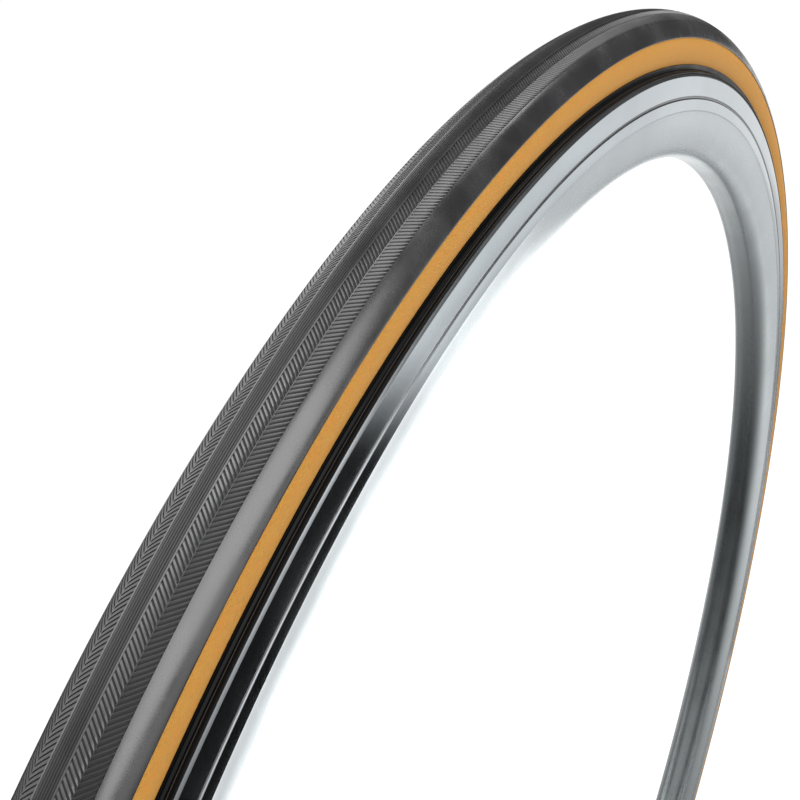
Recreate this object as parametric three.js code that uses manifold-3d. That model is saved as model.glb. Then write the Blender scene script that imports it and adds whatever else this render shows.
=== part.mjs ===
// A road racing clincher tyre on its rim, with inner tube, rim tape and valve, in millimetres.
// The axle runs along Y through the origin, +Z is up and the valve stands at the bottom.
// Section points are written [y, r]: y across the wheel, r out from the axle.
import * as THREE from "three";
import { mergeVertices } from "three/addons/utils/BufferGeometryUtils.js";
import Module from "manifold-3d";

// Driving dimensions of the tyre
const SECTION_CENTRE_R = 324; // axle to the middle of the tyre's round section
const SECTION_RADIUS = 10.6;
const TREAD_EDGE_DEG = 16; // angles round the section: 0 points sideways and 90 outwards
const TREAD_EDGE_THICKNESS = 0.15;
const TREAD_CROWN_THICKNESS = 1.6;
const BREAKER_THICKNESS = 0.4;
const PLY_THICKNESS = 0.45;
const LAYER_GAP = 0.1;
const BEAD_CENTRE = [7.2, 313.05];
const BEAD_CORE_RADIUS = 0.65;
const TUBE_CLEARANCE = 0.3;
const TUBE_WALL = 0.9;

// Driving dimensions of the rim
const FLANGE_R = 316.3;
const HALF_WIDTH = 11;
const BEAD_SEAT_R = 311;
const WELL_R = 308.4;
const WEAR_GROOVE_R = 308.9;
const TRACK_FOOT_R = 304.9;
const BED_EDGE = [10.7, 304.5];
const BED_APEX_R = 288.6;
const BED_ROUNDNESS = 2.7; // exponent of the bed's superellipse: 2 is an ellipse, more is boxier
const WALL = 1.5;

// Driving dimensions of the valve: radii about its own axis, levels out from the axle
const STEM_RADIUS = 3;
const STEM_BORE = 2;
const STEM_FOOT_LEVEL = 313.1;
const STEM_TIP_LEVEL = 262;
const CORE_FOOT_LEVEL = 280;
const CORE_TIP_LEVEL = 257.5;
const CORE_BORE = 1;
const PIN_RADIUS = 0.7;
const PIN_TIP_LEVEL = 251;
const PIN_TRAVEL = 1.5;
const LOCK_RING_RADIUS = 6.5;
const CAP_RADIUS = 3.9;
const CAP_TIP_LEVEL = 248.8;
const VALVE_HOLE_RADIUS = 3.3;

const RING_STEPS = 48;
const VALVE_STEPS = 16;

const wasm = await Module();
wasm.setup();
const part = new THREE.Group();

const rubber = { color: 0x1c1d1e, roughness: 0.75, metalness: 0 };
const cotton = { color: 0xcd9c50, roughness: 0.7, metalness: 0 };
const aramid = { color: 0xc9a646, roughness: 0.6, metalness: 0 };
const aluminium = { color: 0xb9bec3, roughness: 0.3, metalness: 1 };
const brass = { color: 0xb99a5a, roughness: 0.3, metalness: 1 };
const plastic = { color: 0x222222, roughness: 0.5, metalness: 0 };
const tapeCloth = { color: 0xe6e2d4, roughness: 0.85, metalness: 0 };

function addNode(name, geometry, finish) {
  const mesh = new THREE.Mesh(geometry, new THREE.MeshStandardMaterial(finish));
  mesh.name = name;
  part.add(mesh);
}

// Solids and booleans

function solidOf(geometry) {
  const bare = new THREE.BufferGeometry();
  bare.setAttribute("position", geometry.getAttribute("position"));
  bare.setIndex(geometry.getIndex());
  const merged = mergeVertices(bare, 1e-4);
  return new wasm.Manifold(
    new wasm.Mesh({
      numProp: 3,
      vertProperties: merged.attributes.position.array,
      triVerts: new Uint32Array(merged.index.array),
    }),
  );
}

function geometryOf(solid) {
  const mesh = solid.getMesh();
  const geometry = new THREE.BufferGeometry();
  geometry.setAttribute("position", new THREE.BufferAttribute(mesh.vertProperties, 3));
  geometry.setIndex(new THREE.BufferAttribute(mesh.triVerts, 1));
  geometry.computeVertexNormals();
  return geometry;
}

// Turns a closed outline of [radius, height] points about the Y axis, faces outwards.
function revolved(outline, steps) {
  const closed = [...outline, outline[0]].map(([radius, height]) => {
    return new THREE.Vector2(radius, height);
  });
  if (THREE.ShapeUtils.area(closed) < 0) closed.reverse();
  return new THREE.LatheGeometry(closed, steps);
}

// A ring about the axle from one section outline of [y, r] points.
function ring(outline) {
  return revolved(outline.map(([y, r]) => [r, y]), RING_STEPS);
}

// A piece about the valve's axis from an outline of [radius, level] points.
function turned(outline) {
  const points = outline.map(([radius, level]) => [radius, -level]);
  return revolved(points, VALVE_STEPS).rotateX(Math.PI / 2);
}

// A tube about the valve's axis, from the level nearer the tyre to the one nearer the axle.
function sleeve(outer, bore, tyreLevel, axleLevel) {
  return turned([
    [bore, tyreLevel],
    [outer, tyreLevel],
    [outer, axleLevel],
    [bore, axleLevel],
  ]);
}

// A nut about the valve's axis, with a toothed outside for the fingers.
function knurled(radius, bore, tyreLevel, axleLevel, teeth) {
  const shape = new THREE.Shape();
  for (let i = 0; i < 2 * teeth; i++) {
    const angle = (Math.PI * i) / teeth;
    const reach = i % 2 ? radius * 0.92 : radius;
    const x = reach * Math.cos(angle);
    const y = reach * Math.sin(angle);
    if (i) shape.lineTo(x, y);
    else shape.moveTo(x, y);
  }
  shape.closePath();
  const hole = new THREE.Path();
  hole.absarc(0, 0, bore, 0, 2 * Math.PI, true);
  shape.holes.push(hole);
  const options = { depth: tyreLevel - axleLevel, bevelEnabled: false, curveSegments: 8 };
  return new THREE.ExtrudeGeometry(shape, options).translate(0, 0, -tyreLevel);
}

// Drills a hole along the valve's axis through everything between two levels.
function drilled(solid, radius, tyreLevel, axleLevel) {
  const drill = new THREE.CylinderGeometry(radius, radius, tyreLevel - axleLevel, VALVE_STEPS)
    .rotateX(Math.PI / 2)
    .translate(0, 0, -(tyreLevel + axleLevel) / 2);
  return solid.subtract(solidOf(drill));
}

// Section outlines of the tyre

const mirrored = (points) => points.map(([y, r]) => [-y, r]).reverse();

// A point of the round section at an angle, some way in from the tyre's surface.
function sectionPoint(degrees, depth) {
  const angle = THREE.MathUtils.degToRad(degrees);
  const reach = SECTION_RADIUS - depth;
  return [reach * Math.cos(angle), SECTION_CENTRE_R + reach * Math.sin(angle)];
}

// How thick the tread rubber is over an angle: thin at its edges, thickest on the crown.
function treadThickness(degrees) {
  const edge = Math.sin(THREE.MathUtils.degToRad(TREAD_EDGE_DEG));
  const rise = Math.sin(THREE.MathUtils.degToRad(degrees)) - edge;
  const share = Math.max(0, rise / (1 - edge));
  return TREAD_EDGE_THICKNESS + (TREAD_CROWN_THICKNESS - TREAD_EDGE_THICKNESS) * share;
}

// Every layer turns its corners at the same angles, so that the layers nest.
const CROWN_STEP_DEG = (90 - TREAD_EDGE_DEG) / 3;
const CROWN_DEG = Array.from({ length: 7 }, (_, i) => TREAD_EDGE_DEG + i * CROWN_STEP_DEG);
const BREAKER_DEG = CROWN_DEG.slice(1, 6);
const WALL_DEG = [-24, -4];
const CASING_DEG = [...WALL_DEG, ...CROWN_DEG, ...WALL_DEG.map((a) => 180 - a).reverse()];

// How deep the outer ply's outside lies at an angle, under the tread and the breaker belt.
function plyDepth(degrees) {
  const breaker = BREAKER_DEG.includes(degrees) ? BREAKER_THICKNESS + LAYER_GAP : 0;
  return treadThickness(degrees) + LAYER_GAP + breaker;
}

// A band across the crown between two depths below the tyre's surface.
function crownBand(angles, outerDepth, innerDepth) {
  const outer = angles.map((a) => sectionPoint(a, outerDepth(a)));
  const inner = angles.map((a) => sectionPoint(a, innerDepth(a)));
  return [...outer, ...inner.reverse()];
}

// A closed strip of even thickness along a centreline.
function ribbon(centreline, thickness) {
  const points = centreline.map(([y, r]) => new THREE.Vector2(y, r));
  const normals = points.map((point, i) => {
    const before = points[Math.max(0, i - 1)];
    const after = points[Math.min(points.length - 1, i + 1)];
    const into = point.clone().sub(before).normalize();
    const out = after.clone().sub(point).normalize();
    const along = into.clone().add(out).normalize();
    const bend = Math.max(0.5, along.dot(i ? into : out));
    return new THREE.Vector2(-along.y, along.x).multiplyScalar(thickness / 2 / bend);
  });
  const side = (sign) => points.map((p, i) => p.clone().addScaledVector(normals[i], sign));
  return [...side(1), ...side(-1).reverse()].map((p) => [p.x, p.y]);
}

// The outer ply's centreline from the end of its turn-up, under the bead core and up the wall.
const TURN_UP = [
  [6.1, 314.3],
  [6.1, 312.1],
  [8.3, 312.1],
  [8.3, 313.6],
  [7.45, 315.1],
  [7.55, 317],
];

function outerPlyOutline() {
  const crown = CASING_DEG.map((a) => sectionPoint(a, plyDepth(a) + PLY_THICKNESS / 2));
  return ribbon([...TURN_UP, ...crown, ...mirrored(TURN_UP)], PLY_THICKNESS);
}

function innerPlyOutline() {
  const foot = [
    [6.85, 315.2],
    [7, 317.2],
  ];
  const depth = PLY_THICKNESS * 1.5 + LAYER_GAP;
  const crown = CASING_DEG.map((a) => sectionPoint(a, plyDepth(a) + depth));
  return ribbon([...foot, ...crown, ...mirrored(foot)], PLY_THICKNESS);
}

// One side's chafer: a lip on the rim's flange and a strip round the outside of the bead.
function chaferOutline() {
  return [
    [9.45, 318.8],
    [8.9, 317.5],
    [10.4, 316.95],
    [10.5, 316.6],
    [8.4, 316.6],
    [8.15, 316.4],
    [8.15, 315.2],
    [8.87, 314],
    [8.87, 311.4],
    [6.2, 311.2],
    [6.2, 311.5],
    [8.62, 311.75],
    [8.62, 313.75],
    [7.82, 315.1],
    [7.85, 316.5],
    [9.1, 318.9],
  ];
}

function beadCoreOutline() {
  const [y, r] = BEAD_CENTRE;
  return Array.from({ length: 6 }, (_, i) => {
    const angle = (Math.PI * (2 * i + 1)) / 6;
    return [y + BEAD_CORE_RADIUS * Math.cos(angle), r + BEAD_CORE_RADIUS * Math.sin(angle)];
  });
}

// The inflated tube lies against the inner ply and reaches down between the beads.
const TUBE_FOOT = [
  [3.2, 310.6],
  [5.3, 312],
  [5.7, 316],
];

function tubeOutline() {
  const against = [CASING_DEG[0], ...CROWN_DEG, CASING_DEG.at(-1)];
  const plies = 2 * PLY_THICKNESS + LAYER_GAP;
  const crown = against.map((a) => sectionPoint(a, plyDepth(a) + plies + TUBE_CLEARANCE));
  return [...TUBE_FOOT, ...crown, ...mirrored(TUBE_FOOT)];
}

// The tube's hollow, one wall's thickness inside it.
function tubeHollowOutline() {
  const foot = [
    [TUBE_FOOT[0][0] - 0.3, TUBE_FOOT[0][1] + TUBE_WALL],
    [TUBE_FOOT[1][0] - TUBE_WALL, TUBE_FOOT[1][1] + 0.6],
    [TUBE_FOOT[2][0] - TUBE_WALL, TUBE_FOOT[2][1]],
  ];
  const against = [CASING_DEG[0], ...CROWN_DEG, CASING_DEG.at(-1)];
  const depth = 2 * PLY_THICKNESS + LAYER_GAP + TUBE_CLEARANCE + TUBE_WALL;
  const crown = against.map((a) => sectionPoint(a, plyDepth(a) + depth));
  return [...foot, ...crown, ...mirrored(foot)];
}

// Section outlines of the rim

// Half a superellipse hanging inwards from two edges at one radius to an apex between them.
function bedCurve(halfWidth, edgeR, apexR, steps) {
  const power = 2 / BED_ROUNDNESS;
  return Array.from({ length: steps + 1 }, (_, i) => {
    const angle = (Math.PI * i) / steps;
    const across = Math.cos(angle);
    const y = halfWidth * Math.sign(across) * Math.abs(across) ** power;
    return [y, edgeR - (edgeR - apexR) * Math.abs(Math.sin(angle)) ** power];
  });
}

function rimOutline() {
  const flank = [
    [4.7, WELL_R],
    [5.9, BEAD_SEAT_R],
    [9.2, BEAD_SEAT_R],
    [9.2, 314.4],
    [8.35, 315.3],
    [8.6, FLANGE_R],
    [HALF_WIDTH - 0.3, FLANGE_R],
    [HALF_WIDTH, FLANGE_R - 0.3],
    [HALF_WIDTH, WEAR_GROOVE_R + 0.4],
    [HALF_WIDTH - 0.3, WEAR_GROOVE_R],
    [HALF_WIDTH, WEAR_GROOVE_R - 0.4],
    [HALF_WIDTH, TRACK_FOOT_R],
  ];
  const bed = bedCurve(...BED_EDGE, BED_APEX_R, 8);
  return [...flank, ...bed, ...mirrored(flank)];
}

function rimHollowOutline() {
  const top = [
    [5.6, WELL_R - WALL],
    [7, BEAD_SEAT_R - WALL],
    [HALF_WIDTH - WALL, BEAD_SEAT_R - WALL],
  ];
  const bed = bedCurve(BED_EDGE[0] - WALL, BED_EDGE[1], BED_APEX_R + WALL, 6);
  return [...top, ...bed, ...mirrored(top)];
}

// The tyre

const breakerTop = (degrees) => treadThickness(degrees) + LAYER_GAP;
const breakerUnderside = (degrees) => breakerTop(degrees) + BREAKER_THICKNESS;
addNode("tread", ring(crownBand(CROWN_DEG, () => 0, treadThickness)), rubber);
addNode("breaker_belt", ring(crownBand(BREAKER_DEG, breakerTop, breakerUnderside)), aramid);
addNode("casing_ply_outer", ring(outerPlyOutline()), cotton);
addNode("casing_ply_inner", ring(innerPlyOutline()), cotton);
addNode("chafer_right", ring(chaferOutline()), rubber);
addNode("chafer_left", ring(mirrored(chaferOutline())), rubber);
addNode("bead_core_right", ring(beadCoreOutline()), aramid);
addNode("bead_core_left", ring(mirrored(beadCoreOutline())), aramid);

// The inner tube, open where the valve passes through its wall, and the patch at the valve's foot

const tubeSkin = solidOf(ring(tubeOutline())).subtract(solidOf(ring(tubeHollowOutline())));
addNode("inner_tube", geometryOf(drilled(tubeSkin, VALVE_HOLE_RADIUS, 315, 300)), rubber);

const PATCH_LEVEL = 310;
const patchPlate = new THREE.BoxGeometry(11, 8.4, 0.5).translate(0, 0, -PATCH_LEVEL + 0.25);
const patch = drilled(solidOf(patchPlate), VALVE_HOLE_RADIUS, 315, 300);
addNode("valve_base_patch", geometryOf(patch), rubber);

// The rim, hollow between the tyre well and the bed, with the tape in the well

const rimSolid = solidOf(ring(rimOutline())).subtract(solidOf(ring(rimHollowOutline())));
addNode("rim", geometryOf(drilled(rimSolid, VALVE_HOLE_RADIUS, 315, 280)), aluminium);

const tape = ring([
  [-4.3, WELL_R + 0.25],
  [4.3, WELL_R + 0.25],
  [4.3, WELL_R + 0.75],
  [-4.3, WELL_R + 0.75],
]);
addNode("rim_tape", geometryOf(drilled(solidOf(tape), VALVE_HOLE_RADIUS, 315, 300)), tapeCloth);

// The sleeve that joins the rolled rim's two ends, inside its hollow opposite the valve
function sleeveOutline(inset) {
  const halfWidth = BED_EDGE[0] - WALL - inset;
  const crest = BED_EDGE[1] + 2 - inset;
  const bed = bedCurve(halfWidth, BED_EDGE[1], BED_APEX_R + WALL + inset, 6);
  return [[halfWidth, crest], ...bed, [-halfWidth, crest]];
}
const SLEEVE_LENGTH = 50;
const sleeveBlock = new THREE.BoxGeometry(SLEEVE_LENGTH, 30, 30).translate(0, 0, 300);
const jointSleeve = solidOf(ring(sleeveOutline(0.4)))
  .subtract(solidOf(ring(sleeveOutline(1.6))))
  .intersect(solidOf(sleeveBlock));
addNode("rim_joint_sleeve", geometryOf(jointSleeve), aluminium);

// The valve, from the tube to its cap

const stem = turned([
  [STEM_BORE, STEM_FOOT_LEVEL],
  [STEM_RADIUS + 0.6, STEM_FOOT_LEVEL],
  [STEM_RADIUS + 0.6, STEM_FOOT_LEVEL - 0.8],
  [STEM_RADIUS, STEM_FOOT_LEVEL - 0.8],
  [STEM_RADIUS, STEM_TIP_LEVEL],
  [STEM_BORE, STEM_TIP_LEVEL],
]);
addNode("valve_stem", stem, brass);

const coreBody = turned([
  [CORE_BORE, CORE_FOOT_LEVEL],
  [STEM_BORE - 0.15, CORE_FOOT_LEVEL],
  [STEM_BORE - 0.15, STEM_TIP_LEVEL - 0.3],
  [STEM_RADIUS - 0.4, STEM_TIP_LEVEL - 0.3],
  [STEM_RADIUS - 0.4, STEM_TIP_LEVEL - 3.3],
  [STEM_BORE - 0.3, STEM_TIP_LEVEL - 3.3],
  [STEM_BORE - 0.3, CORE_TIP_LEVEL],
  [CORE_BORE, CORE_TIP_LEVEL],
]);
addNode("valve_core_body", coreBody, brass);

const SEAL_LENGTH = 2.5;
const SEAL_LEVEL = CORE_FOOT_LEVEL + 0.2;
const seal = sleeve(1.7, PIN_RADIUS + 0.15, SEAL_LEVEL + SEAL_LENGTH, SEAL_LEVEL);
addNode("valve_core_seal", seal, rubber);

const PIN_HEAD_LEVEL = SEAL_LEVEL + SEAL_LENGTH + 0.3;
const pin = turned([
  [0, PIN_HEAD_LEVEL + 0.8],
  [1.5, PIN_HEAD_LEVEL + 0.8],
  [1.5, PIN_HEAD_LEVEL],
  [PIN_RADIUS, PIN_HEAD_LEVEL],
  [PIN_RADIUS, PIN_TIP_LEVEL],
  [0, PIN_TIP_LEVEL],
]);
addNode("valve_core_pin", pin, brass);

// The nut stands unscrewed, clear of the core by a little more than the pin's travel.
const NUT_LEVEL = CORE_TIP_LEVEL - PIN_TRAVEL - 0.2;
const nut = knurled(2.1, PIN_RADIUS + 0.15, NUT_LEVEL, NUT_LEVEL - 3, 8);
addNode("valve_core_nut", nut, brass);

const LOCK_RING_LEVEL = BED_APEX_R - 0.7;
const lockRing = knurled(
  LOCK_RING_RADIUS,
  STEM_RADIUS + 0.15,
  LOCK_RING_LEVEL,
  LOCK_RING_LEVEL - 3.8,
  12,
);
addNode("valve_lock_ring", lockRing, aluminium);

const cap = turned([
  [STEM_RADIUS + 0.2, 271],
  [CAP_RADIUS, 271],
  [CAP_RADIUS, CAP_TIP_LEVEL + 3],
  [CAP_RADIUS - 1.2, CAP_TIP_LEVEL],
  [0, CAP_TIP_LEVEL],
  [0, CAP_TIP_LEVEL + 1.5],
  [STEM_RADIUS - 0.6, CAP_TIP_LEVEL + 1.5],
  [STEM_RADIUS - 0.1, CAP_TIP_LEVEL + 3],
  [STEM_RADIUS + 0.2, 261.5],
]);
addNode("valve_cap", cap, plastic);

export default part;
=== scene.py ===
import math

import bpy
import numpy as np
from mathutils import Matrix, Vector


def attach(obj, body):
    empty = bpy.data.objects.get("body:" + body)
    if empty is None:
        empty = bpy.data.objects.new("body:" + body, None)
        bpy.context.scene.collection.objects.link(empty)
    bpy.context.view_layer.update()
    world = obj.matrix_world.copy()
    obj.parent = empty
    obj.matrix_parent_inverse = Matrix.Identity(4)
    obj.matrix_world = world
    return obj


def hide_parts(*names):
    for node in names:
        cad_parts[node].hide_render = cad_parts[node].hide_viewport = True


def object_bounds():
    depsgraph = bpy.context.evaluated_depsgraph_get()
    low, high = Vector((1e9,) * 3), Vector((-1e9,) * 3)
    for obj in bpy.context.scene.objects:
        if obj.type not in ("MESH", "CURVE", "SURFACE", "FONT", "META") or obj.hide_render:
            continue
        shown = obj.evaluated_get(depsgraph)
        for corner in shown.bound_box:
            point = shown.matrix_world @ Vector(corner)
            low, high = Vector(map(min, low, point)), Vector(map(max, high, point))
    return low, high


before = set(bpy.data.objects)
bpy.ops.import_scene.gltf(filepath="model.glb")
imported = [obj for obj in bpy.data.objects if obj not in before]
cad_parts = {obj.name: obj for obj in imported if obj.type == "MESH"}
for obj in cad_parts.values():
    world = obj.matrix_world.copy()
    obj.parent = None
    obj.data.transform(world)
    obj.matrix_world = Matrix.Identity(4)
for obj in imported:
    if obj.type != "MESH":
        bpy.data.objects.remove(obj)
cad_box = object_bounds()

# Every length below is in millimetres until a mesh is made. Section points are [y, r]: y across the
# wheel and r out from the axle. Angles round the tyre's section are 0 sideways and 90 outwards.
MM = 0.001

# The tyre and rim, as in the CAD model
SECTION_CENTRE_R = 324.0
SECTION_RADIUS = 10.6
TREAD_EDGE = 16.0
TREAD_EDGE_THICKNESS = 0.15
TREAD_CROWN_THICKNESS = 1.6
BREAKER_THICKNESS = 0.4
PLY = 0.45
GAP = 0.1
BEAD_CENTRE = (7.2, 313.05)
BEAD_CORE_RADIUS = 0.65
TUBE_CLEARANCE = 0.3
WRAP = (-24, 204)  # where the plies and the tube leave the round part of the section
FLANGE_R = 316.3
HALF_WIDTH = 11.0
BEAD_SEAT_R = 311.0
WELL_R = 308.4
WEAR_GROOVE_R = 308.9
WEAR_GROOVE_DEPTH = 0.3
TRACK_FOOT_R = 304.9
BED_EDGE = (10.7, 304.5)
BED_APEX_R = 288.6
BED_ROUNDNESS = 2.7
BED_LEAN = 0.075  # how much narrower the bed is than a plain rounded one, once past its foot
BED_LEAN_REACH = 0.6  # the share of the bed's depth over which it narrows
BED_STEPS = 72
VALVE_HOLE_RADIUS = 3.3

# The tread pattern. Its places are angles from the crown, and its depths are millimetres.
RIB_ZONE = 8.6
RIB_PITCH = RIB_ZONE / 3
RIB_DEPTH = 0.16
RIB_GROOVE = 0.55  # half of a groove's width
BAND_END = 10.7
SPINE = (24.9, 25.7)
SPINE_DEPTH = 0.03
CHEVRON_END = 41.8
CHEVRON_DEPTH = 0.2
STROKES = 1900
STROKE_LEAN = 0.0290  # turn about the axle for each degree round the section
STROKE_SINK = 0.12  # how far a stroke's underside is sunk into the tread
STROKE_EDGE_SINK = 0.02

# Radiances of the lights
WORLD_LIGHT = 0.07
FLOOR_GLOW = 1.02
TOP_FRONT = 3.0
TOP_BACK = 5.0
RIGHT = 3.5
LEFT = 2.6
FRONT = 1.2
BACK = 2.0

MOST_TRIANGLES = 195000  # in one ring, so that its exported mesh is kept whole
FINE = 720  # steps round a ring that shows
PLAIN = 240  # steps round a ring that is hidden inside
SHARP = 35


# ---------------------------------------------------------------- meshes


def placed(name, data):
    """A new object in the scene."""
    obj = bpy.data.objects.new(name, data)
    bpy.context.scene.collection.objects.link(obj)
    return obj


def piece(name, mesh, materials, replaces, body="wheel", sharp=SHARP):
    """A visible piece that rides on a body. Edges sharper than sharp degrees stay crisp."""
    obj = placed(name, mesh)
    for m in materials:
        mesh.materials.append(m)
    mesh.shade_smooth()
    mesh.set_sharp_from_angle(angle=math.radians(sharp))
    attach(obj, body)
    if replaces:
        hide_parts(*replaces)
    return obj


def quad_mesh(name, verts, quads, sweep=None, slots=None):
    """A mesh of quads from numpy arrays. sweep is one vector per corner, for materials that follow
    the ring: millimetres round it and millimetres along its section."""
    mesh = bpy.data.meshes.new(name)
    count = len(quads)
    mesh.vertices.add(len(verts))
    mesh.vertices.foreach_set("co", (verts * MM).astype(np.float32).ravel())
    mesh.loops.add(count * 4)
    mesh.loops.foreach_set("vertex_index", quads.astype(np.int32).ravel())
    mesh.polygons.add(count)
    mesh.polygons.foreach_set("loop_start", np.arange(0, count * 4, 4, dtype=np.int32))
    mesh.polygons.foreach_set("loop_total", np.full(count, 4, dtype=np.int32))
    if slots is not None:
        mesh.polygons.foreach_set("material_index", slots.astype(np.int32))
    mesh.update()
    if sweep is not None:
        layer = mesh.attributes.new("sweep", "FLOAT_VECTOR", "CORNER")
        layer.data.foreach_set("vector", sweep.astype(np.float32).ravel())
    return mesh


def tube_mesh(name, rows, sweep_u, sweep_v, slots=None):
    """A closed mesh from rows[i, j]: i runs round the ring and j round the section."""
    n, m = rows.shape[:2]
    i, j = np.meshgrid(np.arange(n), np.arange(m), indexing="ij")
    i2, j2 = (i + 1) % n, (j + 1) % m
    quads = np.stack([i * m + j, i * m + j2, i2 * m + j2, i2 * m + j], -1).reshape(-1, 4)
    u = np.stack([sweep_u[i], sweep_u[i], sweep_u[i + 1], sweep_u[i + 1]], -1)
    v = np.stack([sweep_v[j], sweep_v[j + 1], sweep_v[j + 1], sweep_v[j]], -1)
    sweep = np.stack([u, v, np.zeros_like(u)], -1).reshape(-1, 3)
    faces = None if slots is None else np.asarray(slots)[j].ravel()
    return quad_mesh(name, rows.reshape(-1, 3), quads, sweep, faces)


def lengths_along(points):
    """The distance to each point along a closed outline, and the whole way round at the end."""
    steps = np.linalg.norm(np.diff(np.vstack([points, points[:1]]), axis=0), axis=1)
    return np.concatenate([[0.0], np.cumsum(steps)])


def turned_outwards(points, slots=None):
    """The outline in the direction that makes its faces point out, with its slots."""
    y, r = points[:, 0], points[:, 1]
    area = np.sum(y * np.roll(r, -1) - np.roll(y, -1) * r)
    if area < 0:
        return points, slots
    points = points[::-1]
    return points, None if slots is None else np.roll(np.asarray(slots)[::-1], -1)


def ring_mesh(name, outline, steps=FINE, slots=None):
    """An outline of section points turned about the axle, in as many steps as are allowed."""
    points, slots = turned_outwards(np.array(outline, float), slots)
    steps = min(steps, MOST_TRIANGLES // 2 // len(points))
    angle = np.linspace(0, 2 * math.pi, steps, endpoint=False)
    y = np.broadcast_to(points[:, 0], (steps, len(points)))
    r = points[None, :, 1]
    rows = np.stack([r * np.cos(angle)[:, None], y, r * np.sin(angle)[:, None]], -1)
    around = np.linspace(0, 2 * math.pi * SECTION_CENTRE_R, steps + 1)
    return tube_mesh(name, rows, around, lengths_along(points), slots)


def spindle_mesh(name, outline, steps=64):
    """Turned about the valve's axis, from a closed outline of (radius, level) points. Levels are
    distances from the axle, and points on the axis are kept a hair off it."""
    points = np.array([(max(radius, 0.004), -level) for radius, level in outline], float)
    points, _ = turned_outwards(points[:, ::-1])
    angle = np.linspace(0, 2 * math.pi, steps, endpoint=False)
    z, radius = points[None, :, 0], points[None, :, 1]
    rows = np.stack(
        [
            radius * np.sin(angle)[:, None],
            radius * np.cos(angle)[:, None],
            np.broadcast_to(z, (steps, len(points))),
        ],
        -1,
    )
    around = np.linspace(0, 2 * math.pi * 3, steps + 1)
    return tube_mesh(name, rows, around, lengths_along(points))


def softened(points, reach=0.25, steps=3, only_over=12):
    """The outline with each real corner rounded off by a short curve."""
    points = np.array(points, float)
    made = []
    for i, corner in enumerate(points):
        before, after = points[i - 1], points[(i + 1) % len(points)]
        a, b = before - corner, after - corner
        la, lb = np.linalg.norm(a), np.linalg.norm(b)
        bend = 180 - math.degrees(math.acos(np.clip(a @ b / la / lb, -1, 1)))
        if bend < only_over:
            made.append(corner)
            continue
        start = corner + a / la * min(reach, la * 0.45)
        end = corner + b / lb * min(reach, lb * 0.45)
        for t in np.linspace(0, 1, steps + 1):
            made.append((1 - t) ** 2 * start + 2 * t * (1 - t) * corner + t**2 * end)
    return np.array(made)


def mirrored(points):
    """The other side's points, in the order that carries on round the outline."""
    return [(-y, r) for y, r in points][::-1]


# ---------------------------------------------------------------- sections


def section_point(degrees, depth):
    """The point below the tyre's round surface at an angle and a depth."""
    a = math.radians(degrees)
    reach = SECTION_RADIUS - depth
    return (reach * math.cos(a), SECTION_CENTRE_R + reach * math.sin(a))


def tread_thickness(degrees):
    """The tread's thickness, which grows from its edges to the crown."""
    edge = math.sin(math.radians(TREAD_EDGE))
    share = max(0.0, (math.sin(math.radians(degrees)) - edge) / (1 - edge))
    return TREAD_EDGE_THICKNESS + (TREAD_CROWN_THICKNESS - TREAD_EDGE_THICKNESS) * share


BREAKER_EDGE = TREAD_EDGE + (90 - TREAD_EDGE) / 3
BREAKER_EASE = 6  # degrees over which the ply goes down under the belt


def ply_depth(degrees):
    """How deep the outer ply lies, easing down to make room for the breaker belt."""
    off = abs(degrees - 90)
    ease = np.clip((90 - BREAKER_EDGE + BREAKER_EASE - off) / BREAKER_EASE, 0, 1)
    return tread_thickness(degrees) + GAP + (BREAKER_THICKNESS + GAP) * ease


def tread_relief(off):
    """How deep the tread's surface is cut at an angle from the crown."""
    if off < RIB_ZONE:
        from_groove = abs((off + RIB_PITCH / 2) % RIB_PITCH - RIB_PITCH / 2)
        return RIB_DEPTH * max(0.0, 1 - from_groove / RIB_GROOVE)
    if off < BAND_END:
        return 0.0
    if SPINE[0] <= off <= SPINE[1]:
        return SPINE_DEPTH
    if off < CHEVRON_END:
        return CHEVRON_DEPTH
    return 0.0


def tread_outline():
    """The tread's section, with the slot of each of its faces: 0 ribs, 1 floor under the strokes,
    2 shoulders and underside, 3 the plain band beside the ribs."""
    offs = [0.0]
    for groove in np.arange(0, RIB_ZONE + 0.1, RIB_PITCH):
        across = [groove + part * RIB_GROOVE for part in (-1, -0.5, 0.001, 0.5, 1)]
        offs += [off for off in across if off > 0]
        offs += [groove + RIB_GROOVE + part for part in (0.6, 1.1)]
    offs = [off for off in offs if off < BAND_END - 0.05] + [BAND_END - 0.02]
    offs += [BAND_END + 0.03, *np.linspace(11, 24, 10), SPINE[0] - 0.03, SPINE[0] + 0.05]
    offs += [SPINE[1] - 0.05, SPINE[1] + 0.03, *np.linspace(27, 41, 10), CHEVRON_END - 0.03]
    offs += [CHEVRON_END + 0.03, *np.linspace(42.5, 90 - TREAD_EDGE - 0.5, 24)]
    outer = [section_point(90 - off, tread_relief(off)) for off in offs]
    edge = [section_point(TREAD_EDGE, 0.03), section_point(TREAD_EDGE - 0.1, 0.08)]
    under = [section_point(a, tread_thickness(a)) for a in np.linspace(TREAD_EDGE, 90, 28)]
    right = outer + edge + under
    slots = [0 if o < RIB_ZONE + RIB_GROOVE else 3 if o < BAND_END else 2 for o in offs]
    slots = [1 if tread_relief(o) == CHEVRON_DEPTH else slot for o, slot in zip(offs, slots)]
    slots += [2] * (len(edge) + len(under))
    left = mirrored(right)[1:-1]
    return right + left, slots[:-1] + slots[-2::-1][: len(left) + 1]


def band_outline(low, outer, inner, steps):
    """A band round the crown, between two depths that follow the angle."""
    angles = np.linspace(low, 180 - low, steps)
    top = [section_point(a, outer(a)) for a in angles]
    return top + [section_point(a, inner(a)) for a in angles[::-1]]


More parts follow.
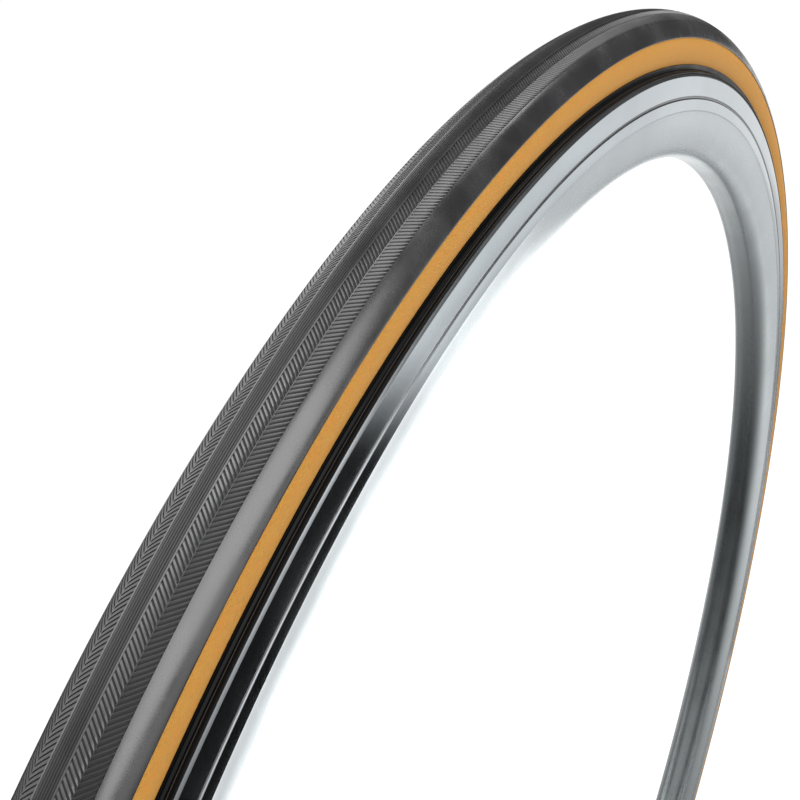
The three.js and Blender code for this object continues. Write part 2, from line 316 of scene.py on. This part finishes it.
def ribbon(centreline, thickness):
    """A strip of even thickness along a centreline."""
    p = np.array(centreline, float)
    along = np.gradient(p, axis=0)
    along /= np.linalg.norm(along, axis=1)[:, None]
    normal = np.stack([-along[:, 1], along[:, 0]], -1) * thickness / 2
    return np.vstack([p + normal, (p - normal)[::-1]])


def smooth_line(points, per_span=6):
    """A Catmull-Rom curve through the points."""
    p = np.array(points, float)
    p = np.vstack([2 * p[0] - p[1], p, 2 * p[-1] - p[-2]])
    made = []
    for a, b, c, d in zip(p, p[1:], p[2:], p[3:]):
        for t in np.linspace(0, 1, per_span, endpoint=False):
            bend = (2 * a - 5 * b + 4 * c - d) * t**2 + (3 * b - a - 3 * c + d) * t**3
            made.append(0.5 * (2 * b + (c - a) * t + bend))
    return made + [p[-2]]


# Where the outer ply turns up round the bead, and where the inner one ends
TURN_UP = [(6.1, 314.3), (6.12, 312.6), (7.2, 312.0), (8.25, 312.5), (8.22, 313.6),
           (7.5, 315.1), (7.55, 317.0)]
INNER_FOOT = [(6.85, 315.2), (7.0, 317.2)]


def outer_ply_outline():
    crown = [section_point(a, ply_depth(a) + PLY / 2) for a in np.linspace(*WRAP, 96)]
    foot = smooth_line(TURN_UP + [crown[0]], 5)[:-1]
    return ribbon(foot + crown + mirrored(foot), PLY)


def inner_ply_outline():
    depth = PLY * 1.5 + GAP
    crown = [section_point(a, ply_depth(a) + depth) for a in np.linspace(*WRAP, 60)]
    return ribbon(INNER_FOOT + crown + mirrored(INNER_FOOT), PLY)


def chafer_outline():
    """The rubber strip from the tyre's foot over the flange's inside and under the bead. Its black
    lip over the flange's top is partly painted shade and a painted dark reflection.
    """
    return softened(
        [
            (9.35, 318.9), (8.88, 317.6), (9.3, 317.05), (10.45, 316.95), (10.78, 316.7),
            (10.75, 316.37), (8.4, 316.38), (8.15, 316.2), (8.15, 315.2), (8.87, 314.0),
            (8.87, 311.4), (6.2, 311.2), (6.2, 311.5), (8.62, 311.75), (8.62, 313.75),
            (7.82, 315.1), (7.85, 316.5), (9.0, 318.95),
        ],
        0.12,
    )


def circle_outline(centre, radius, steps=20):
    angles = np.linspace(0, 2 * math.pi, steps, endpoint=False)
    return [(centre[0] + radius * math.cos(a), centre[1] + radius * math.sin(a)) for a in angles]


def tube_outline():
    foot = [(3.2, 310.6), (5.3, 312.0), (5.7, 316.0)]
    depth = 2 * PLY + GAP + TUBE_CLEARANCE
    crown = [section_point(a, ply_depth(a) + depth) for a in np.linspace(*WRAP, 48)]
    return foot + crown + mirrored(foot)


def bed_curve():
    """The rounded bed, which leans in a little from the foot of each brake track."""
    power = 2 / BED_ROUNDNESS
    edge_y, edge_r = BED_EDGE
    made = []
    for a in np.linspace(0, math.pi, BED_STEPS + 1):
        c, s = math.cos(a), abs(math.sin(a)) ** power
        left = max(0.0, 1 - s / BED_LEAN_REACH)
        y = edge_y * math.copysign(abs(c) ** power, c) * (1 - BED_LEAN * (1 - left**2))
        made.append((y, edge_r - (edge_r - BED_APEX_R) * s))
    return made


def rim_outline():
    """The rim's outside section: well, bead seats, hooks, brake tracks and bed."""
    groove_y = HALF_WIDTH - WEAR_GROOVE_DEPTH
    flank = [
        (4.7, WELL_R), (5.9, BEAD_SEAT_R), (9.2, BEAD_SEAT_R), (9.2, 314.4), (8.35, 315.3),
        (8.6, FLANGE_R), (HALF_WIDTH - 0.45, FLANGE_R), (HALF_WIDTH, FLANGE_R - 0.9),
        (HALF_WIDTH, WEAR_GROOVE_R + 0.5), (groove_y, WEAR_GROOVE_R + 0.2),
        (groove_y, WEAR_GROOVE_R - 0.2), (HALF_WIDTH, WEAR_GROOVE_R - 0.5),
        (HALF_WIDTH, TRACK_FOOT_R), (HALF_WIDTH - 0.28, TRACK_FOOT_R - 0.3),
    ]
    return softened(flank + bed_curve() + mirrored(flank), 0.14)


# ---------------------------------------------------------------- materials


class Look:
    """A node material round one Principled shader. sweep is the way along a ring's surface, in
    millimetres, and place is the point in the object, in metres."""

    def __init__(self, name, **values):
        self.material = bpy.data.materials.new(name)
        self.material.use_nodes = True
        self.tree = self.material.node_tree
        self.shader = self.tree.nodes["Principled BSDF"]
        for key, value in values.items():
            self.shader.inputs[key.replace("_", " ")].default_value = value

    def node(self, kind, links=None, **values):
        n = self.tree.nodes.new("ShaderNode" + kind)
        for key, value in values.items():
            setattr(n, key, value)
        for socket, source in (links or {}).items():
            self.set(n.inputs[socket], source)
        return n

    def set(self, socket, source):
        if isinstance(source, bpy.types.NodeSocket):
            self.tree.links.new(source, socket)
        else:
            socket.default_value = source

    def sweep(self):
        return self.node("Attribute", attribute_name="sweep").outputs["Vector"]

    def place(self):
        return self.node("TexCoord").outputs["Object"]

    def noise(self, vector, scale, detail=3.0, roughness=0.55):
        links = {"Vector": vector, "Scale": scale, "Detail": detail, "Roughness": roughness}
        return self.node("TexNoise", links).outputs["Fac"]

    def stretched(self, vector, scale):
        links = {"Vector": vector, "Scale": scale}
        return self.node("Mapping", links).outputs["Vector"]

    def ramp(self, value, low, high, to_low=0.0, to_high=1.0):
        links = {"Value": value, "From Min": low, "From Max": high}
        links.update({"To Min": to_low, "To Max": to_high})
        return self.node("MapRange", links).outputs["Result"]

    def math(self, operation, a, b=0.0):
        return self.node("Math", {0: a, 1: b}, operation=operation).outputs[0]

    def mix(self, share, a, b):
        n = self.node("Mix", data_type="RGBA")
        for socket, source in zip((n.inputs[0], n.inputs[6], n.inputs[7]), (share, a, b)):
            self.set(socket, source)
        return n.outputs[2]

    def bump(self, height, distance, strength=1.0, normal=None):
        links = {"Height": height, "Distance": distance, "Strength": strength}
        if normal is not None:
            links["Normal"] = normal
        return self.node("Bump", links).outputs["Normal"]

    def use(self, **sockets):
        for key, source in sockets.items():
            self.set(self.shader.inputs[key.replace("_", " ")], source)
        return self.material


# Heights of the materials' bumps, in metres
RUBBER_GRAIN = 0.000004
THREAD_HEIGHT = 0.00003
SLUB_HEIGHT = 0.00006
METAL_GRAIN = 0.000003
LINE_HEIGHT = 0.0000018
PLAIN_GRAIN = 0.00001


def toned(colour, red, green=None, blue=None):
    """The colour with its channels multiplied, by the same amount where only one is given."""
    parts = (red, red, red) if green is None else (red, green, blue)
    return tuple(min(1, c * part) for c, part in zip(colour, parts)) + (1,)


def rubber(name, colour, rough, dust, specular=0.5):
    """Vulcanised rubber: fine grain, cloudy mould-release dust and slow changes of gloss."""
    look = Look(name, IOR=1.52, Specular_IOR_Level=specular)
    place = look.place()
    cloud = look.noise(place, 70, 4, 0.55)
    fleck = look.noise(place, 900, 3, 0.6)
    fine = look.noise(place, 3500, 2, 0.5)
    bloom = look.math("MULTIPLY", look.ramp(cloud, 0.36, 0.76), look.ramp(fleck, 0.3, 0.75, 0.7, 1))
    base = look.mix(look.math("MULTIPLY", bloom, dust), colour, toned(colour, 3.2))
    gloss = look.ramp(cloud, 0.35, 0.7, rough[0], rough[1])
    gloss = look.math("ADD", gloss, look.ramp(fine, 0.3, 0.7, -0.02, 0.02))
    normal = look.bump(fine, RUBBER_GRAIN)
    normal = look.bump(fleck, RUBBER_GRAIN, 0.4, normal)
    return look.use(Base_Color=base, Roughness=gloss, Normal=normal)


def woven(name, colour, thread_mm, rough=0.62):
    """Cloth laid on the bias: two crossing thread directions with slubs, colour changes and painted
    shade between the threads.
    """
    look = Look(name, Specular_IOR_Level=0.3)
    sweep = look.sweep()
    parts = look.node("SeparateXYZ", {0: sweep})
    u, v = parts.outputs[0], parts.outputs[1]
    turn = 2 * math.pi / thread_mm / math.sqrt(2)
    wander = look.ramp(look.noise(sweep, 0.9, 3), 0.3, 0.7, -0.6, 0.6)

    def threads(operation):
        phase = look.math("MULTIPLY", look.math(operation, u, v), turn)
        return look.math("SINE", look.math("ADD", phase, wander))

    height = look.math("MAXIMUM", threads("ADD"), threads("SUBTRACT"))
    slub = look.noise(look.stretched(sweep, (0.6, 2.4, 1)), 1.5, 4, 0.65)
    stain = look.noise(sweep, 0.11, 4, 0.6)
    blotch = look.noise(look.stretched(sweep, (0.5, 1, 1)), 0.55, 3, 0.6)
    dark = toned(colour, 0.648)
    base = look.mix(look.ramp(slub, 0.3, 0.7), dark, toned(colour, 1.16))
    base = look.mix(look.ramp(stain, 0.35, 0.7, 0, 0.45), base, colour)
    warm = look.ramp(blotch, 0.48, 0.66, 0, 0.8)
    base = look.mix(warm, base, toned(colour, 1.04, 0.86, 0.7))
    cool = look.ramp(blotch, 0.46, 0.3, 0, 0.8)
    base = look.mix(cool, base, toned(colour, 0.93, 1.02, 1.0))
    # Painted shade: the colour darkens where the thread height is low, in the hollows between the
    # threads.
    base = look.mix(look.ramp(height, -0.4, 0.9, 0.35, 0), base, dark)
    normal = look.bump(height, THREAD_HEIGHT, 0.8)
    normal = look.bump(slub, SLUB_HEIGHT, 0.5, normal)
    gloss = look.ramp(slub, 0.3, 0.7, rough - 0.08, rough + 0.1)
    return look.use(Base_Color=base, Roughness=gloss, Normal=normal)


def satin_metal(name, colour, rough, streaks=0.12, lines_mm=None):
    """Metal with marks that run round the ring: drawn streaks, or the lines of a machined face."""
    look = Look(name, Metallic=1.0, IOR=1.45)
    sweep = look.sweep()
    streak = look.noise(look.stretched(sweep, (0.02, 9.0, 1)), 1.0, 4, 0.7)
    cloud = look.noise(look.place(), 28, 4, 0.6)
    speck = look.noise(look.place(), 1800, 2, 0.6)
    dull = toned(colour, 0.88)
    base = look.mix(look.ramp(cloud, 0.3, 0.72), colour, dull)
    base = look.mix(look.ramp(streak, 0.45, 0.75, 0, 0.18), base, dull)
    gloss = look.ramp(streak, 0.3, 0.7, rough - streaks / 2, rough + streaks / 2)
    gloss = look.math("ADD", gloss, look.ramp(cloud, 0.3, 0.7, -0.03, 0.05))
    normal = look.bump(streak, METAL_GRAIN, 0.3)
    normal = look.bump(speck, METAL_GRAIN, 0.3, normal)
    if lines_mm:
        v = look.node("SeparateXYZ", {0: sweep}).outputs[1]
        line = look.math("SINE", look.math("MULTIPLY", v, 2 * math.pi / lines_mm))
        normal = look.bump(line, LINE_HEIGHT, 0.6, normal)
    return look.use(Base_Color=base, Roughness=gloss, Normal=normal)


def plain(name, colour, rough, metallic=0.0):
    """A small turned or moulded part, with a fine grain and duller patches."""
    look = Look(name, Metallic=metallic)
    place = look.place()
    fine = look.noise(place, 1500, 3)
    cloud = look.noise(place, 1500 / 14, 4)
    base = look.mix(look.ramp(cloud, 0.3, 0.75), colour, toned(colour, 0.72))
    gloss = look.ramp(cloud, 0.3, 0.7, rough - 0.06, rough + 0.12)
    return look.use(Base_Color=base, Roughness=gloss, Normal=look.bump(fine, PLAIN_GRAIN, 0.6))


GREY = (0.02, 0.02, 0.02, 1)
STROKE_GREY = (0.026, 0.026, 0.026, 1)
rib_rubber = rubber("rubber_centre", GREY, (0.34, 0.46), 0.25, 0.4)
chevron_rubber = rubber("rubber_chevron", STROKE_GREY, (0.3, 0.42), 0.35, 1.0)
dull_rubber = rubber("rubber_dull", STROKE_GREY, (0.45, 0.58), 0.35, 0.45)
# The sunk floor between the strokes is darker rubber than the strokes: painted shade in the gaps
# between them.
groove_rubber_shaded = rubber("rubber_groove_shaded", (0.012, 0.012, 0.012, 1), (0.5, 0.62), 0.2, 0.3)
shoulder_rubber = rubber("rubber_shoulder", (0.02, 0.02, 0.021, 1), (0.2, 0.32), 0.6, 1.0)
# Black chafer rubber, made near-black and darker than the tread: partly painted shade for the dark
# band between the sidewall and the rim.
chafer_rubber_and_shade = rubber("rubber_chafer_and_shade", (0.0025, 0.0027, 0.0029, 1), (0.3, 0.42), 0.08, 0.1)
tube_rubber = rubber("rubber_tube", GREY, (0.6, 0.75), 0.9)
seal_rubber = rubber("rubber_seal", GREY, (0.45, 0.6), 0.3)
casing_cotton = woven("cotton_casing", (0.525, 0.25, 0.038, 1), 0.42)
lining_cotton = woven("cotton_lining", (0.6, 0.42, 0.18, 1), 0.42)
aramid_cloth = woven("aramid_belt", (0.6, 0.42, 0.1, 1), 0.7)
cord_cloth = woven("bead_cord", (0.55, 0.4, 0.1, 1), 0.3)
tape_cloth = woven("tape_weave", (0.72, 0.69, 0.6, 1), 0.5, 0.8)
# A brown line, not a real thread: a painted reflection of the amber sidewall in the dark band.
amber_glint_brown = woven("amber_glint_painted", (0.035, 0.029, 0.026, 1), 0.35)
bed_metal = satin_metal("rim_satin", (0.565, 0.612, 0.63, 1), 0.28)
track_metal = satin_metal("rim_machined", (0.485, 0.532, 0.557, 1), 0.13, 0.05, 0.18)
# Darker metal on the flange's chamfer and in the wear groove: painted shade that dims their
# highlights.
edge_metal_shaded = satin_metal("rim_edge_shaded", (0.24, 0.25, 0.26, 1), 0.34)
sleeve_metal = satin_metal("sleeve_metal", (0.6, 0.61, 0.63, 1), 0.4)
brass = plain("valve_brass", (0.66, 0.5, 0.24, 1), 0.28, 1.0)
ring_metal = plain("lock_ring_metal", (0.7, 0.71, 0.73, 1), 0.25, 1.0)
cap_plastic = plain("cap_plastic", (0.02, 0.02, 0.021, 1), 0.45)


# ---------------------------------------------------------------- the tyre

outline, slots = tread_outline()
piece(
    "tread_cap",
    ring_mesh("tread_cap", outline, FINE, slots),
    [rib_rubber, groove_rubber_shaded, shoulder_rubber, chevron_rubber],
    ["tread"],
)


def stroke_band(near, far, lean, side, shares, shoulders):
    """One band of slanted strokes, standing on the sunk floor of the tread. The angles are measured
    from the crown, near the crown first, and the stroke's feet are sunk into the rubber. shares
    are where a stroke's foot, two top edges and other foot stand, as shares of the pitch, and
    shoulders are the heights of the two top edges, as shares of its full height."""
    lift = np.array([0.0, *shoulders, 0.0])
    count = STROKES * len(shares)
    k = np.arange(count)
    turn = (k // 4 + np.array(shares)[k % 4]) * 2 * math.pi / STROKES
    across = np.linspace(near, far, 4)
    offs = np.concatenate([across, across[::-1][[0, -1]]])
    rows = np.empty((count, len(offs), 3))
    for j, off in enumerate(offs):
        rise = CHEVRON_DEPTH + (0.0 if j in (0, len(across) - 1) else STROKE_EDGE_SINK)
        depth = CHEVRON_DEPTH + STROKE_EDGE_SINK - lift[k % 4] * rise
        if j >= len(across):
            depth = np.full(count, CHEVRON_DEPTH + STROKE_SINK)
        a = math.radians(90 - off)
        reach = SECTION_RADIUS - depth
        angle = turn + math.radians(lean * (SPINE[0] - off))
        y, r = side * reach * math.cos(a), SECTION_CENTRE_R + reach * math.sin(a)
        rows[:, j] = np.stack([r * np.cos(angle), y, r * np.sin(angle)], -1)
    if side < 0:
        rows = rows[:, ::-1]
    return rows


def stroke_piece(name, side, look, shares, high, low):
    """The two bands of one side's strokes. Their tops slope opposite ways."""
    bands = [
        stroke_band(BAND_END + 0.1, SPINE[0] - 0.05, STROKE_LEAN, side, shares, (high, low)),
        stroke_band(SPINE[1] + 0.05, CHEVRON_END - 0.1, -STROKE_LEAN, side, shares, (low, high)),
    ]
    verts, quads = [], []
    for rows in bands:
        n, m = rows.shape[:2]
        i, j = np.meshgrid(np.arange(n), np.arange(m), indexing="ij")
        i2, j2 = (i + 1) % n, (j + 1) % m
        faces = np.stack([i * m + j, i2 * m + j, i2 * m + j2, i * m + j2], -1).reshape(-1, 4)
        quads.append(faces + sum(len(v) for v in verts))
        verts.append(rows.reshape(-1, 3))
    mesh = quad_mesh(name, np.vstack(verts), np.vstack(quads))
    piece(name, mesh, [look], (), sharp=60)


# The photo's far side shows its strokes more faintly, as if they were flatter and duller.
stroke_piece("tread_strokes_right", 1, chevron_rubber, (0.0, 0.09, 0.48, 0.58), 1.0, 0.5)
stroke_piece("tread_strokes_left", -1, dull_rubber, (0.0, 0.06, 0.72, 0.78), 1.0, 0.8)

piece("casing_outer", ring_mesh("casing_outer", outer_ply_outline()), [casing_cotton],
      ["casing_ply_outer"], sharp=50)
piece("casing_inner", ring_mesh("casing_inner", inner_ply_outline(), PLAIN), [lining_cotton],
      ["casing_ply_inner"])
belt = band_outline(
    BREAKER_EDGE + 0.2,
    lambda a: tread_thickness(a) + GAP,
    lambda a: tread_thickness(a) + GAP + BREAKER_THICKNESS,
    40,
)
piece("breaker", ring_mesh("breaker", belt, PLAIN), [aramid_cloth], ["breaker_belt"])

for side, flip in (("right", list), ("left", mirrored)):
    piece(f"chafer_strip_{side}", ring_mesh(f"chafer_{side}", flip(chafer_outline())),
          [chafer_rubber_and_shade], [f"chafer_{side}"])
    # A thin brown ridge along the chafer: a painted reflection of the amber sidewall.
    amber_glint_outline = circle_outline((9.75, 317.02), 0.1, 10)
    piece(f"chafer_amber_glint_{side}", ring_mesh(f"thread_{side}", flip(amber_glint_outline)), [amber_glint_brown],
          ())
    core = circle_outline(BEAD_CENTRE, BEAD_CORE_RADIUS)
    piece(f"bead_{side}", ring_mesh(f"bead_{side}", flip(core), PLAIN), [cord_cloth],
          [f"bead_core_{side}"])

tape = [(-4.3, WELL_R + 0.25), (4.3, WELL_R + 0.25), (4.3, WELL_R + 0.75), (-4.3, WELL_R + 0.75)]
tape_band = piece("rim_tape_band", ring_mesh("rim_tape_band", softened(tape, 0.15), PLAIN),
                  [tape_cloth], ["rim_tape"])
piece("inner_tube_skin", ring_mesh("inner_tube_skin", tube_outline(), PLAIN), [tube_rubber],
      ["inner_tube"])


# ---------------------------------------------------------------- the rim


def drilled(obj, low, high):
    """Cuts the valve's hole through the piece, between two levels from the axle."""
    radius = VALVE_HOLE_RADIUS
    outline = [(0, low), (radius, low), (radius, high), (0, high)]
    drill = placed("drill", spindle_mesh("drill", outline, 48))
    cut = obj.modifiers.new("valve_hole", "BOOLEAN")
    cut.operation, cut.solver, cut.object = "DIFFERENCE", "EXACT", drill
    graph = bpy.context.evaluated_depsgraph_get()
    mesh = bpy.data.meshes.new_from_object(obj.evaluated_get(graph))
    obj.modifiers.clear()
    obj.data = mesh
    mesh.set_sharp_from_angle(angle=math.radians(SHARP))
    bpy.data.objects.remove(drill)


points = rim_outline()
middle = (points + np.roll(points, -1, axis=0)) / 2
out, level = np.abs(middle[:, 0]), middle[:, 1]
on_track = (out > HALF_WIDTH - 0.4) & (level > TRACK_FOOT_R) & (level < FLANGE_R - 0.2)
# The flange's chamfer and the wear groove take the darker metal, as painted shade.
on_shaded_edge = (out > HALF_WIDTH - 0.6) & (out < HALF_WIDTH - 0.02) & (level > WEAR_GROOVE_R - 0.6)
slots = np.where(on_shaded_edge, 2, on_track.astype(int))
rim = piece("rim_body", ring_mesh("rim_body", points, FINE, slots),
            [bed_metal, track_metal, edge_metal_shaded], ["rim"], sharp=40)

drilled(rim, 280, 315)
drilled(tape_band, 300, 315)

for name, look in (("rim_joint_sleeve", sleeve_metal), ("valve_base_patch", tube_rubber)):
    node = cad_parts[name]
    node.data.materials.clear()
    node.data.materials.append(look)


# ---------------------------------------------------------------- the valve


def threaded(radius, low, high, pitch=0.8, depth=0.22):
    """The outside of a threaded length, as (radius, level) points from low to high."""
    turns = int(abs(high - low) / pitch)
    made = [(radius, low)]
    for i in range(turns):
        at = low + (high - low) * (i + 0.5) / turns
        half = (high - low) / turns / 2
        made += [(radius, at - half * 0.75), (radius - depth, at - half * 0.1),
                 (radius - depth, at + half * 0.1), (radius, at + half * 0.75)]
    return made + [(radius, high)]


def valve_piece(name, outline, look, node, body="wheel", steps=64):
    """A turned piece of the valve with softened edges."""
    mesh = spindle_mesh(name, softened(outline, 0.1, 2, 25), steps)
    return piece(name, mesh, [look], [node], body)


stem_outline = [(2.0, 313.1), (3.6, 313.1), (3.6, 312.3)]
stem_outline += threaded(3.0, 312.3, 262.0) + [(2.0, 262.0)]
valve_piece("stem_body", stem_outline, brass, "valve_stem")
core_outline = [(1.0, 280.0), (1.85, 280.0), (1.85, 261.7), (2.6, 261.7), (2.6, 258.7),
                (1.7, 258.7), (1.7, 257.5), (1.0, 257.5)]
valve_piece("core_body", core_outline, brass, "valve_core_body")
valve_piece("core_seal", [(0.85, 282.7), (1.7, 282.7), (1.7, 280.2), (0.85, 280.2)], seal_rubber,
            "valve_core_seal", "core_pin")
pin_outline = [(0, 283.8), (1.5, 283.8), (1.5, 283.0), (0.7, 283.0)]
pin_outline += threaded(0.7, 262, 251.6, 0.5, 0.08) + [(0.5, 251.0), (0, 251.0)]
valve_piece("core_pin", pin_outline, brass, "valve_core_pin", "core_pin", 32)


def knurled_mesh(name, radius, bore, low, high, teeth, chamfer=0.4):
    """A toothed nut: its outline is turned, and its outside swells at each tooth."""
    levels = [low, low - chamfer, high + chamfer, high]
    count = teeth * 8
    turn = np.arange(count) * 2 * math.pi / count
    tooth = 0.94 + 0.06 * np.clip(np.cos(turn * teeth) * 1.8, -1, 1)
    loops = [(bore, levels[0], 0), (radius - chamfer, levels[0], 1), (radius, levels[1], 1),
             (radius, levels[2], 1), (radius - chamfer, levels[3], 1), (bore, levels[3], 0)]
    rows = np.empty((count, len(loops), 3))
    for j, (size, level, toothed) in enumerate(loops):
        reach = size * (tooth if toothed else 1)
        z = np.full(count, -level)
        rows[:, j] = np.stack([reach * np.sin(turn), reach * np.cos(turn), z], -1)
    around = np.linspace(0, 20, count + 1)
    return tube_mesh(name, rows, around, np.arange(len(loops) + 1.0))


piece("core_nut", knurled_mesh("core_nut", 2.1, 0.85, 255.8, 252.8, 16, 0.25), [brass],
      ["valve_core_nut"], "core_nut")
piece("lock_ring", knurled_mesh("lock_ring", 6.5, 3.15, 287.9, 284.1, 24), [ring_metal],
      ["valve_lock_ring"], "lock_ring")
cap_outline = [(3.2, 271.0), (3.9, 271.0), (3.9, 269.6), (3.75, 269.4), (3.75, 268.6), (3.9, 268.4),
               (3.9, 251.8), (2.7, 248.8), (0, 248.8), (0, 250.3), (2.4, 250.3), (2.9, 251.8),
               (3.2, 261.5)]
valve_piece("cap_shell", cap_outline, cap_plastic, "valve_cap", "cap", 48)


# ---------------------------------------------------------------- stage, light and camera

# Lengths from here on are in metres.
FLOOR_GAP = 0.0005
FLOOR = cad_box[0][2] - FLOOR_GAP


def stand(obj, place, *axes):
    """Puts the object at a place, with its own x, y and z along the three axes."""
    turn = Matrix(np.stack(axes, -1).tolist())
    obj.matrix_world = Matrix.Translation(place) @ turn.to_4x4()


def flat_sheet(name, centre, along, across, length, width, material):
    """A flat rectangle with its own axes: x runs along it, and its middle is its origin."""
    x, y = np.array(along, float), np.array(across, float)
    x /= np.linalg.norm(x)
    y -= x * (x @ y)
    y /= np.linalg.norm(y)
    a, b = length / 2, width / 2
    mesh = bpy.data.meshes.new(name)
    mesh.from_pydata([(-a, -b, 0), (a, -b, 0), (a, b, 0), (-a, b, 0)], [], [(0, 1, 2, 3)])
    mesh.materials.append(material)
    obj = placed(name, mesh)
    stand(obj, centre, x, y, np.cross(x, y))
    return obj


floor_look = Look("floor", Roughness=0.9, Specular_IOR_Level=0.0)
mottle = floor_look.noise(floor_look.place(), 2.5, 3)
floor_tone = floor_look.mix(mottle, (0.10, 0.10, 0.10, 1), (0.12, 0.12, 0.12, 1))
floor_look.shader.inputs["Emission Color"].default_value = (1, 1, 1, 1)
floor_look.shader.inputs["Emission Strength"].default_value = FLOOR_GLOW
floor_material = floor_look.use(Base_Color=floor_tone)
flat_sheet("floor", (0, 0, FLOOR), (1, 0, 0), (0, 1, 0), 40, 40, floor_material)


def reflection_card(name, centre, along, across, length, width, fades, radiance, most):
    """A flag, or a white card, that only shiny surfaces see. fades are the soft margins at its
    low and high ends along it and across it, and most is its greatest opacity."""
    look = Look(name)
    parts = look.node("SeparateXYZ", {0: look.place()})
    share = most
    for axis, half, (low, high) in ((0, length / 2, fades[:2]), (1, width / 2, fades[2:])):
        for start, end in ((-half, -half + low), (half, half - high)):
            links = {"Value": parts.outputs[axis], "From Min": start, "From Max": end}
            soft = look.node("MapRange", links, interpolation_type="SMOOTHSTEP").outputs["Result"]
            share = look.math("MULTIPLY", soft, share)
    tree = look.tree
    glow = look.node("Emission", {"Color": (1, 1, 1, 1), "Strength": radiance})
    clear = look.node("BsdfTransparent")
    mixed = look.node("MixShader", {0: share, 1: clear.outputs[0], 2: glow.outputs[0]})
    tree.links.new(mixed.outputs[0], tree.nodes["Material Output"].inputs["Surface"])
    tree.nodes.remove(look.shader)
    card = flat_sheet(name, centre, along, across, length, width, look.material)
    card.visible_camera = False
    card.visible_diffuse = False
    card.visible_shadow = False
    card.visible_transmission = False


reflection_card("flag_floor", (0.8, 0, FLOOR + 0.004), (1, 0, 0), (0, 1, 0), 4.2, 4.4,
                (1.45, 0.3, 0.4, 0.4), 0.0, 0.985)
reflection_card("flag_floor_left", (-0.7, -0.7, FLOOR + 0.008), (1, 0, 0), (0, 1, 0), 1.2, 0.9,
                (0.3, 0.3, 0.3, 0.25), 0.0, 0.6)
reflection_card("flag_floor_back", (-1.7, 0.3, FLOOR + 0.012), (1, 0, 0), (0, 1, 0), 1.7, 1.0,
                (0.5, 0.4, 0.25, 0.25), 0.0, 0.35)
reflection_card("flag_track", (0.084, 0.149, 0.152), (-0.77, 0, 0.63), (0.32, 0.865, 0.37),
                0.26, 0.2, (0.01, 0.06, 0.015, 0.02), 0.0, 0.98)
reflection_card("flag_far", (-0.55, 0.055, -0.09), (0, 0, 1), (0, 1, 0), 0.44, 0.055,
                (0.02, 0.12, 0.012, 0.015), 0.0, 0.75)
reflection_card("flag_inside", (-0.1, 0, -0.135), (0, 0, 1), (0, 1, 0), 0.21, 0.7,
                (0.06, 0.05, 0.1, 0.1), 0.0, 0.85)
reflection_card("card_bed", (-0.01, -0.055, 0.133), (-0.82, 0, 0.57), (0, 1, 0), 0.3, 0.24,
                (0.02, 0.04, 0.03, 0.014), 2.0, 1.0)


def softbox(name, place, facing, along, size, radiance):
    """A lit rectangle that the camera doesn't see."""
    light = bpy.data.lights.new(name, "AREA")
    light.shape, light.size, light.size_y = "RECTANGLE", size[0], size[1]
    light.energy = radiance * math.pi * size[0] * size[1]
    obj = placed(name, light)
    back = -np.array(facing, float) / np.linalg.norm(facing)
    side = np.array(along, float)
    side -= back * (back @ side)
    side /= np.linalg.norm(side)
    stand(obj, place, side, np.cross(back, side), back)
    obj.visible_camera = False
    return obj


softbox("overhead_front", (0.75, -0.25, 1.5), (0, 0, -1), (1, 0, 0), (1.4, 1.2), TOP_FRONT)
softbox("overhead_back", (-0.65, 0.45, 1.5), (0, 0, -1), (-1, 0.12, 0), (1.5, 0.5), TOP_BACK)
softbox("front", (2.2, 0, 0.9), (-1, 0, -0.2), (0, 1, 0), (2.0, 1.2), FRONT)
softbox("back", (-2.2, 0, 1.0), (1, 0, -0.2), (0, 1, 0), (2.0, 1.2), BACK).visible_glossy = False
softbox("side_right", (0.32, 1.65, 1.1), (0, -1, 0), (1, 0, 0), (1.8, 1.4), RIGHT)
softbox("side_left", (-0.3, -1.9, 1.2), (0, 1, -0.2), (1, 0, 0), (3.6, 2.0), LEFT)

world = bpy.data.worlds.new("studio")
world.use_nodes = True
# The backdrop is white to look at, and dim as a light, so that the softboxes shape the highlights.
sky = world.node_tree.nodes["Background"]
sky.inputs["Color"].default_value = (1, 1, 1, 1)
seen = world.node_tree.nodes.new("ShaderNodeLightPath")
strength = world.node_tree.nodes.new("ShaderNodeMapRange")
strength.inputs["To Min"].default_value = WORLD_LIGHT
strength.inputs["To Max"].default_value = FLOOR_GLOW
world.node_tree.links.new(seen.outputs["Is Camera Ray"], strength.inputs["Value"])
world.node_tree.links.new(strength.outputs["Result"], sky.inputs["Strength"])
bpy.context.scene.world = world
bpy.context.scene.view_settings.view_transform = "Standard"

camera = bpy.data.cameras.new("camera")
camera.lens, camera.sensor_width = 48.422, 36.0
camera.clip_start, camera.clip_end = 0.01, 50.0
eye = placed("camera", camera)
CAMERA_AT = (0.304178569, 0.107530668, 0.371331530)
CAMERA_RIGHT = (-0.505051810, 0.863089027, 0.0)
CAMERA_UP = (-0.382750, -0.223973, 0.896291)
CAMERA_BACK = (0.773579, 0.452674, 0.443466)
stand(eye, CAMERA_AT, CAMERA_RIGHT, CAMERA_UP, CAMERA_BACK)
bpy.context.scene.camera = eye
